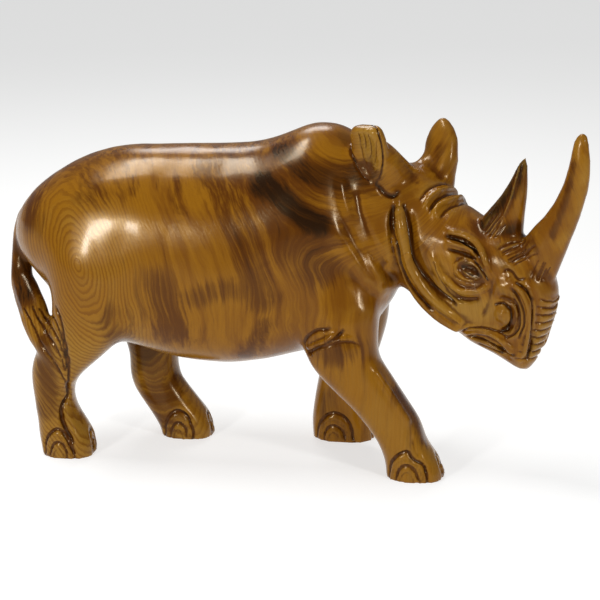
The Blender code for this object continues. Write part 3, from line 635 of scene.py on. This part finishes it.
# Each stroke has its half width, its strength, and the places that it passes: here on the drawing, and
# below in the head. Both sides of the figure have it.
SMOKE = (
    (6.5, 0.60, ((-37, -24, 149), (-28, -34, 135), (-20, -40, 117), (-12, -41, 90))),
    (2.0, 0.40, ((-56, -26, 145), (-54, -34, 134), (-52, -38, 124))),
    (4.0, 0.45, ((-93, -9, 154), (-85, -23, 148), (-79, -30, 140))),
    (7.0, 0.40, ((-105, -27, 139), (-96, -31, 137))),
    (8.0, 0.55, ((-131, -20, 129), (-133, -23, 124))),
    (7.0, 0.45, ((-87, -41, 78), (-86, -31, 64))),
    (9.0, 0.48, ((-64, -42, 96), (-60, -41, 84), (-55, -39, 72))),
    (5.0, 0.48, ((-47, -43, 89), (-30, -43, 95), (-8, -41, 91))),
    (4.0, 0.60, ((-21, -28, 58), (-11, -38, 77))),
    (16.0, 0.60, ((-30, -21, 152), (-10, -32, 143), (8, -38, 124))),
    (7.0, 1.00, ((-14, -29, 146), (-1, -35, 139), (8, -37, 132), (15, -37, 128))),
    (7.5, 0.90, ((-5, -19, 160), (8, -29, 152), (24, -27, 149), (36, -20, 149))),
    (9.0, 0.65, ((9, -38, 126), (13, -38, 115), (15, -38, 106))),
    (6.0, 0.85, ((-144, -6, 102), (-143, -9, 92), (-138, -19, 82))),
    (5.0, 0.50, ((-124, -34, 60), (-124, -34, 42), (-124, -33, 25))),
    (9.0, 0.55, ((-84, 8, 55), (-78, 8, 38), (-74, 8, 24), (-73, 7, 15))),
    (13.0, 0.34, ((-128, -10, 134), (-112, -12, 145), (-92, -12, 151))),
    (6.0, 0.60, ((21, -39, 65), (32, -41, 67))),
    (5.0, 0.60, ((55, -32, 42), (61, -30, 35), (67, -31, 22))),
    (4.0, 0.40, ((11, 16, 25), (9, 18, 11))),
)
HEAD_SMOKE = (
    (5.2, 1.00, ((49, -7, -4), (51, -5, 6), (51.5, -2, 16), (51.5, 0, 26), (52, 0, 33))),
    (2.4, 1.00, ((52, -1, 33), (53.5, -2.5, 25.5), (55, -3.5, 20), (56, -4.5, 14.5))),
    (3.5, 0.90, ((60, -7, -2), (64, -3, 1))),
    (4.0, 0.60, ((64, -11, -8), (70, -8, -5), (76, -6, -1))),
    (3.0, 0.60, ((83, -9, -13), (88, -5, -12))),
    (1.6, 0.65, ((78, -4, 43), (80, -4.5, 35), (81.5, -5, 26.5), (82.5, -6, 17.5), (83, -6.5, 8))),
    (5.0, 0.45, ((52, -18, -21), (58, -17, -22), (62, -17, -25))),
    (2.4, 1.30, ((53.5, -18, -24), (57, -17.5, -23.7), (60, -17.5, -24))),
    (4.0, 0.35, ((28, -20, -22), (36, -20, -36), (46, -18, -43))),
    (3.0, 0.40, ((60, -16, -14), (68, -14, -14), (74, -13, -14))),
    (3.5, 0.45, ((78, -15, -27), (84, -13, -33), (84, -13, -42))),
    (3.0, 0.50, ((2, -14, 8), (6, -10, 2), (9, -9, -3))),
)

# Where a stroke's edge starts and ends, as shares of its half width
SMOKE_EDGE = (0.3, 2.2)
HEAD_SMOKE_EDGE = (0.2, 2.2)
WORN_EDGE = (0.2, 2.0)
STROKE_STEP = 2.0

# Where the head is rubbed pale, as strokes in the head
WORN = (
    (5.5, 0.95, ((-17, -26, 13), (-14, -25, 6), (-11, -24, 0), (-8, -24, -4))),
    (2.6, 0.55, ((11, -22, -14), (16, -24.5, -19), (22, -24.5, -27), (27, -23.5, -34.5))),
    (2.6, 0.55, ((27, -23.5, -34.5), (34, -22.5, -41), (43, -21, -46), (53, -18, -49.5))),
    (1.4, 0.40, ((20, -15, -9), (19, -9, -5), (19, 0, -4))),
    (1.4, 0.40, ((25.5, -15, -11), (25, -9, -6), (26, 0, -5))),
    (4.5, 0.75, ((93, -3, 40), (92, -4, 30), (92, -5, 18), (90, -6, 6))),
    (3.0, 0.70, ((84, -4, 56), (86, -4, 47), (87, -4, 38))),
    (6.0, 0.55, ((40, -19, -30), (50, -19, -40), (62, -17, -44), (70, -16, -38))),
    (4.0, 0.60, ((-18, 24, 18), (-13, 25, 12), (-8, 25, 6))),
    (4.0, 0.55, ((96, -4, -24), (97, -4, -38), (96, -4, -50))),
)


def keep_on_skin(piece, name, values):
    """Writes one value per point of the skin, for the wood's finish to read."""
    attribute = piece.data.attributes.new(name, "FLOAT", "POINT")
    attribute.data.foreach_set("value", values.astype(np.float32))


def stroked(coat, path, half_width, strength, edge):
    """Lays a stroke on the coat. Its edge starts and ends at two shares of its half width."""
    inner, outer = (share * half_width for share in edge)
    near, gap, _, _ = near_path(points, path, outer)
    coat[near] = np.maximum(coat[near], strength * (1.0 - rise(gap, inner, outer)))


points = skin_points(rhinoceros)
on_head = head_cover(points)
smoke = np.zeros(len(points))
worn = np.zeros(len(points))
for half_width, strength, places in SMOKE:
    for side in (1, -1):
        path = along_path([(x, y * side, z) for x, y, z in places], STROKE_STEP)
        stroked(smoke, path, half_width, strength, SMOKE_EDGE)
smoke *= 1.0 - on_head
for coat, strokes, edge in ((smoke, HEAD_SMOKE, HEAD_SMOKE_EDGE), (worn, WORN, WORN_EDGE)):
    for half_width, strength, places in strokes:
        for side in (1, -1):
            turned = [head_place(along, left * side, up) for along, left, up in places]
            stroked(coat, along_path(turned, STROKE_STEP), half_width, strength, edge)
keep_on_skin(rhinoceros, "smoke", smoke)
keep_on_skin(rhinoceros, "worn", worn)
keep_on_skin(rhinoceros, "head", on_head)


# Stain and painted shade in the cuts and hollows
# Smoke and lacquer gather in each cut, and its floor is also given painted shade, so it is brown to black.
# How far a point lies below the skin around it, over a short and over a long reach, is kept for the finish to
# read, which paints shade into the hollows and valleys with it.
STAIN_AND_SHADE_EDGE = (0.0, 1.3)
HOLLOW_PASSES = 2
VALLEY_PASSES = 14
stain_and_shade_coat = np.zeros(len(points))
for path, half_width, strength in stains_and_shades:
    stroked(stain_and_shade_coat, path, half_width, strength, STAIN_AND_SHADE_EDGE)
ends = np.empty(len(rhinoceros.data.edges) * 2, np.int32)
rhinoceros.data.edges.foreach_get("vertices", ends)
first, second = ends.reshape(-1, 2).T


def evened(values):
    """Each point's value, evened out with its neighbours'."""
    number = len(values)
    total = np.bincount(first, values[second], number) + np.bincount(second, values[first], number)
    count = np.bincount(first, minlength=number) + np.bincount(second, minlength=number)
    return total / count


outward = skin_directions(rhinoceros)
around = points.copy()
for name, passes in (("hollow", HOLLOW_PASSES), ("valley_shade", VALLEY_PASSES)):
    for _ in range(passes):
        around = np.stack([evened(around[:, axis]) for axis in range(3)], axis=1)
    keep_on_skin(rhinoceros, name, evened(((around - points) * outward).sum(axis=1)))
keep_on_skin(rhinoceros, "stain_and_shade", stain_and_shade_coat)


# The wood and its lacquer
# Fast-grown honey-coloured wood, its rings cut through in ovals on the haunch, in long leaning lines on the
# side, and in arcs round the shoulder. Many coats of clear gloss lacquer make it amber.
PALE_WOOD = (0.29, 0.150, 0.020, 1.0)
HONEY_WOOD = (0.235, 0.095, 0.004, 1.0)
AMBER_WOOD = (0.130, 0.040, 0.0020, 1.0)
RED_WOOD = (0.072, 0.0185, 0.0008, 1.0)
BLACK_WOOD = (0.009, 0.0025, 0.0005, 1.0)
LACQUER_TINT = (1.0, 0.76, 0.42, 1.0)

# The middles of the ovals, of the arcs and of the knot low on the shoulder, in the drawing's x and z
HAUNCH = (-104.0, 104.0)
SHOULDER = (29.0, 177.0)
KNOT = (4.0, 80.0)
HAUNCH_LEAN = 0.28
HAUNCH_SLANT = 0.2
HAUNCH_FRONT = (-90.0, -52.0)
HAUNCH_START = 4.0
RUMP_TOP = (122.0, 150.0)
SHOULDER_START = 62.0
SHOULDER_EDGE = (-12.0, 12.0)
KNOT_EDGE = (6.0, 26.0)
SIDE_LEAN = 0.42
SIDE_FOOT = 95.0
SIDE_BEND = 60.0
LEG_TOP = (55.0, 105.0)

# The rings' pitch, how much longer than wide the ovals are, and how far the rings sway, waver and jitter
RING_PITCH = 1.85
RING_STRETCH = 0.50
RING_SWAY = 10.0
RING_WAVER = 2.4
KNOT_WAVER = 5.0
RING_JITTER = 0.5
RING_TILT = 0.10
LATE_WOOD = ((0.30, 0.80), (0.84, 1.0))

# The scales of the noise: of what the rings follow, of clouds and grime, and across and along the grain
SWAY_SCALE = 0.028
WAVER_SCALE = (0.16, 0.16, 0.06)
JITTER_SCALE = (1.1, 1.1, 0.7)
WEIGHT_SCALE = 0.35
CLOUD_SCALE = 0.020
GRIME_SCALE = 0.30
FIBRE_SCALE = (2.6, 0.10)
STREAK_SCALE = (0.20, 0.010)
BRUSH_SCALE = (0.75, 0.030)
FIBRE_HEIGHT = 0.12 * MILLIMETRE


class Tone:
    """A value that varies over a piece. An expression on tones adds the nodes that work it out."""

    def __init__(self, finish, socket):
        self.finish = finish
        self.socket = socket

    def worked_out(self, operation, *values):
        """The outcome of one step of arithmetic."""
        inputs = dict(enumerate(values))
        return self.finish.node("ShaderNodeMath", {"operation": operation}, inputs)

    def __add__(self, other):
        return self.worked_out("ADD", self, other)

    def __radd__(self, other):
        return self.worked_out("ADD", other, self)

    def __sub__(self, other):
        return self.worked_out("SUBTRACT", self, other)

    def __rsub__(self, other):
        return self.worked_out("SUBTRACT", other, self)

    def __mul__(self, other):
        return self.worked_out("MULTIPLY", self, other)

    def __rmul__(self, other):
        return self.worked_out("MULTIPLY", other, self)

    def __truediv__(self, other):
        return self.worked_out("DIVIDE", self, other)

    def __rtruediv__(self, other):
        return self.worked_out("DIVIDE", other, self)

    def __pow__(self, other):
        return self.worked_out("POWER", self, other)

    def __rpow__(self, other):
        return self.worked_out("POWER", other, self)


class Finish:
    """A material under construction."""

    def __init__(self, name):
        self.material = bpy.data.materials.new(name)
        self.material.use_nodes = True
        self.tree = self.material.node_tree
        self.shader = self.tree.nodes["Principled BSDF"]

    def node(self, kind, settings, inputs, output=0):
        """Adds a node, with its settings first, and then what goes into its sockets."""
        made = self.tree.nodes.new(kind)
        for name, value in settings.items():
            setattr(made, name, value)
        for name, value in inputs.items():
            self.join(made.inputs[name], value)
        return Tone(self, made.outputs[output])

    def join(self, socket, value):
        """Links a tone to the socket, or sets a plain value on it."""
        if isinstance(value, Tone):
            self.tree.links.new(value.socket, socket)
        else:
            socket.default_value = value

    def mixed(self, factor, first, second):
        """One colour going over to another."""
        inputs = {0: factor, 6: first, 7: second}
        return self.node("ShaderNodeMix", {"data_type": "RGBA"}, inputs, 2)

    def spread(self, value, low, high):
        """From 0 at low to 1 at high, with soft ends."""
        settings = {"interpolation_type": "SMOOTHSTEP"}
        return self.node("ShaderNodeMapRange", settings, {0: value, 1: low, 2: high})

    def speckle(self, place, scale, detail=2.0, roughness=0.5):
        """Soft noise from 0 to 1."""
        inputs = {"Vector": place, "Scale": scale, "Detail": detail, "Roughness": roughness}
        return self.node("ShaderNodeTexNoise", {}, inputs)


wood = Finish("carved_wood")
object_place = wood.node("ShaderNodeTexCoord", {}, {}, "Object")
drawn = wood.node(
    "ShaderNodeMapping",
    {},
    {
        "Vector": object_place,
        "Location": tuple(-DRAWING_ORIGIN),
        "Scale": (1 / MILLIMETRE,) * 3,
    },
)


def parts(place):
    """The x, y and z of a place."""
    return [wood.node("ShaderNodeSeparateXYZ", {}, {0: place}, axis) for axis in range(3)]


def stretched(place, x, y, z):
    """The place, with each of its sides multiplied."""
    return wood.node("ShaderNodeVectorMath", {"operation": "MULTIPLY"}, {0: place, 1: (x, y, z)})


def kept(name):
    """What was kept on the skin under this name."""
    return wood.node("ShaderNodeAttribute", {"attribute_name": name}, {}, "Fac")


def far_from(across, over):
    """How far a place is from a middle that it lies across and over from."""
    return (across * across + over * over) ** 0.5


# Which ring each place is in
x, y, z = parts(drawn)
sway = wood.speckle(drawn, SWAY_SCALE, 1.0) - 0.5
waver = wood.speckle(stretched(drawn, *WAVER_SCALE), 1.0, 2.0) - 0.5
jitter = wood.speckle(stretched(drawn, *JITTER_SCALE), 1.0, 1.0) - 0.5
above_foot = z - SIDE_FOOT
side_line = x + SIDE_LEAN * 0.5 * (above_foot + (above_foot * above_foot + SIDE_BEND) ** 0.5)
over_haunch = z - HAUNCH[1]
across_haunch = x - HAUNCH[0] + HAUNCH_LEAN * over_haunch
oval = far_from(across_haunch, over_haunch * RING_STRETCH) + HAUNCH[0] + HAUNCH_START
arc = SHOULDER_START - far_from(x - SHOULDER[0], z - SHOULDER[1])
on_haunch = 1.0 - wood.spread(x + HAUNCH_SLANT * over_haunch, *HAUNCH_FRONT)
on_shoulder = wood.spread(arc, *SHOULDER_EDGE)
on_knot = 1.0 - wood.spread(far_from(x - KNOT[0], z - KNOT[1]), *KNOT_EDGE)
line = side_line + (oval - side_line) * on_haunch
line = line + (arc - line) * on_shoulder
ring_place = line + sway * RING_SWAY + waver * (RING_WAVER + KNOT_WAVER * on_knot)
ring_place = ring_place + jitter * RING_JITTER + y * RING_TILT
ring_turn = wood.node("ShaderNodeMath", {"operation": "FRACT"}, {0: ring_place / RING_PITCH})
late_wood = wood.spread(ring_turn, *LATE_WOOD[0]) - wood.spread(ring_turn, *LATE_WOOD[1])
ring_line = wood.node("ShaderNodeCombineXYZ", {}, {0: ring_place * WEIGHT_SCALE})
ring_weight = wood.speckle(ring_line, 1.0, 2.0) + 0.35


def along_grain(across_scale, along_scale):
    """Noise drawn out along the grain."""
    inputs = {0: ring_place * across_scale, 1: z * along_scale, 2: y * (0.35 * across_scale)}
    return wood.speckle(wood.node("ShaderNodeCombineXYZ", {}, inputs), 1.0, 3.0, 0.6)


# How pale, red, smoked and scorched the wood is, with the cuts' floors darkened by stain and painted shade
fibre = along_grain(*FIBRE_SCALE)
streak = along_grain(*STREAK_SCALE)
brush = along_grain(*BRUSH_SCALE)
ragged = (streak - 0.5) * 1.5 + (brush - 0.5) * 1.3
cloud = wood.speckle(drawn, CLOUD_SCALE)
grime = wood.speckle(drawn, GRIME_SCALE) - 0.5
head, rubbed, smoke_tone = kept("head"), kept("worn"), kept("smoke")
on_rump = on_haunch * (1.0 - 0.75 * wood.spread(z, *RUMP_TOP))
low_down = 1.0 - wood.spread(z, *LEG_TOP)
paleness = cloud * 0.6 + low_down * 0.18 + on_rump * 0.18 + head * 0.04 + ragged * 0.25 + rubbed * 0.55
redness = streak + (0.5 - cloud) * 0.5 - low_down * 0.08 - on_rump * 0.15 + head * 0.06 - rubbed * 0.35
ring_depth = (0.10 + 0.60 * on_rump + 0.35 * on_knot + 0.12 * on_shoulder) * late_wood * ring_weight
scorch_and_shade = kept("stain_and_shade") * (0.55 + fibre * 0.7) + grime * 0.7

# The coats over the honey-coloured wood, from the first to the last, with their shares
COATS = (
    (PALE_WOOD, wood.spread(paleness, 0.38, 0.90)),
    (AMBER_WOOD, wood.spread(redness, 0.34, 0.66) * 0.75),
    (AMBER_WOOD, ring_depth),
    (AMBER_WOOD, wood.spread(fibre, 0.50, 0.80) * 0.40),
    (RED_WOOD, wood.spread(brush, 0.56, 0.85) * 0.30),
    (RED_WOOD, wood.spread(smoke_tone + ragged * 0.75, 0.12, 0.66) * 0.88),
    (BLACK_WOOD, wood.spread(smoke_tone + ragged * 0.50, 0.60, 1.05) * 0.92),
    # Painted shade: the broad valleys and the narrow hollows and creases of the skin are darkened
    (RED_WOOD, wood.spread(kept("valley_shade") + ragged * 0.10, 0.0, 0.50) * 0.80),
    (RED_WOOD, wood.spread(kept("hollow"), 0.010, 0.09) * 0.75),
    # Painted highlight on the head's raised parts, together with their rubbed wear: they are made paler
    (PALE_WOOD, (1.0 - wood.spread(kept("hollow"), -0.10, -0.012)) * head * 0.35),
    # The cuts' floors are darkened: smoke stain, and painted shade in the grooves
    (RED_WOOD, wood.spread(scorch_and_shade, 0.10, 0.60) * 0.75),
    (BLACK_WOOD, wood.spread(scorch_and_shade, 0.50, 1.00) * 0.90),
)
colour = HONEY_WOOD
for coat, coat_share in COATS:
    colour = wood.mixed(coat_share, colour, coat)
wood.join(wood.shader.inputs["Base Color"], colour)
wood.join(wood.shader.inputs["Roughness"], 0.15 + fibre * 0.16)
raised = fibre * 0.7 + brush * 0.3 - late_wood * 0.12
relief = {"Strength": 0.35, "Distance": FIBRE_HEIGHT, "Height": raised}
wood.join(wood.shader.inputs["Normal"], wood.node("ShaderNodeBump", {}, relief, "Normal"))
for socket_name, value in (
    ("Specular IOR Level", 0.26),
    ("Specular Tint", LACQUER_TINT),
    ("Coat Weight", 0.08),
    ("Coat Roughness", 0.12),
):
    wood.join(wood.shader.inputs[socket_name], value)
rhinoceros.data.materials.clear()
rhinoceros.data.materials.append(wood.material)


# The table and the lamps
# A table top covered in plain white paper. A long lamp hangs overhead, a small one stands on either side in
# front of the figure, and a broad one stands high behind it.
TABLE_SIZE = 6.0
PAPER = (0.48, 0.48, 0.475, 1.0)
PAPER_SHADE = (0.45, 0.45, 0.445, 1.0)
PAPER_GLOW = (1.0, 1.0, 0.995, 1.0)
PAPER_GLOW_STRENGTH = 0.62
ROOM_LIGHT = (0.95, 0.97, 1.0, 1.0)
ROOM_LIGHT_STRENGTH = 0.20
LAMP_AIM = (0.0, 0.0, 0.08)
# Each lamp's place, its two sizes, and its power
LAMPS = {
    "overhead_lamp": ((-0.32, 0.03, 0.88), 0.46, 0.14, 5.0),
    "window_lamp": ((-0.44, -0.86, 0.38), 0.085, 0.085, 3.6),
    "right_lamp": ((0.62, -0.56, 0.46), 0.09, 0.13, 2.6),
    "back_lamp": ((-0.20, 0.72, 0.80), 0.34, 0.34, 2.4),
}
bpy.ops.object.select_all(action="DESELECT")
bpy.ops.mesh.primitive_plane_add(size=TABLE_SIZE, location=(0.0, 0.0, 0.0))
table = bpy.context.active_object
table.name = "table_top"
paper = Finish("white_paper")
paper_place = paper.node("ShaderNodeTexCoord", {}, {}, "Object")
paper_mottle = paper.speckle(paper_place, 3.0)
for socket_name, value in (
    ("Base Color", paper.mixed(paper_mottle, PAPER, PAPER_SHADE)),
    ("Roughness", 1.0),
    ("Specular IOR Level", 0.0),
    ("Emission Color", PAPER_GLOW),
    ("Emission Strength", PAPER_GLOW_STRENGTH),
):
    paper.join(paper.shader.inputs[socket_name], value)
table.data.materials.append(paper.material)

world = bpy.data.worlds.new("studio")
bpy.context.scene.world = world
world.use_nodes = True
world.node_tree.nodes["Background"].inputs["Color"].default_value = ROOM_LIGHT
world.node_tree.nodes["Background"].inputs["Strength"].default_value = ROOM_LIGHT_STRENGTH
bpy.context.scene.view_settings.view_transform = "Standard"
for name, (place, width, height, watts) in LAMPS.items():
    bpy.ops.object.select_all(action="DESELECT")
    bpy.ops.object.light_add(type="AREA", location=place)
    lamp = bpy.context.active_object
    lamp.name = name
    lamp.rotation_euler = (Vector(LAMP_AIM) - Vector(place)).to_track_quat("-Z", "Y").to_euler()
    lamp.data.shape = "RECTANGLE"
    lamp.data.size = width
    lamp.data.size_y = height
    lamp.data.energy = watts


# The camera
# It looks at the figure's right side with a long lens, from a little ahead of it and a little above, and
# aims a little below the middle of the barrel.
VIEW_AZIMUTH = math.radians(9.5)
VIEW_ELEVATION = math.radians(15.0)
VIEW_DISTANCE = 1.010
VIEW_LENS = 120.0
VIEW_AIM = (0.003008, 0.002584, 0.080)
target = Vector(VIEW_AIM)
back = Vector(
    (
        math.sin(VIEW_AZIMUTH) * math.cos(VIEW_ELEVATION),
        -math.cos(VIEW_AZIMUTH) * math.cos(VIEW_ELEVATION),
        math.sin(VIEW_ELEVATION),
    )
)
bpy.ops.object.select_all(action="DESELECT")
bpy.ops.object.camera_add(location=target + back * VIEW_DISTANCE)
camera = bpy.context.active_object
camera.rotation_euler = (-back).to_track_quat("-Z", "Y").to_euler()
camera.data.lens = VIEW_LENS
camera.data.sensor_width = 36.0
camera.data.clip_start = 0.01
bpy.context.scene.camera = camera
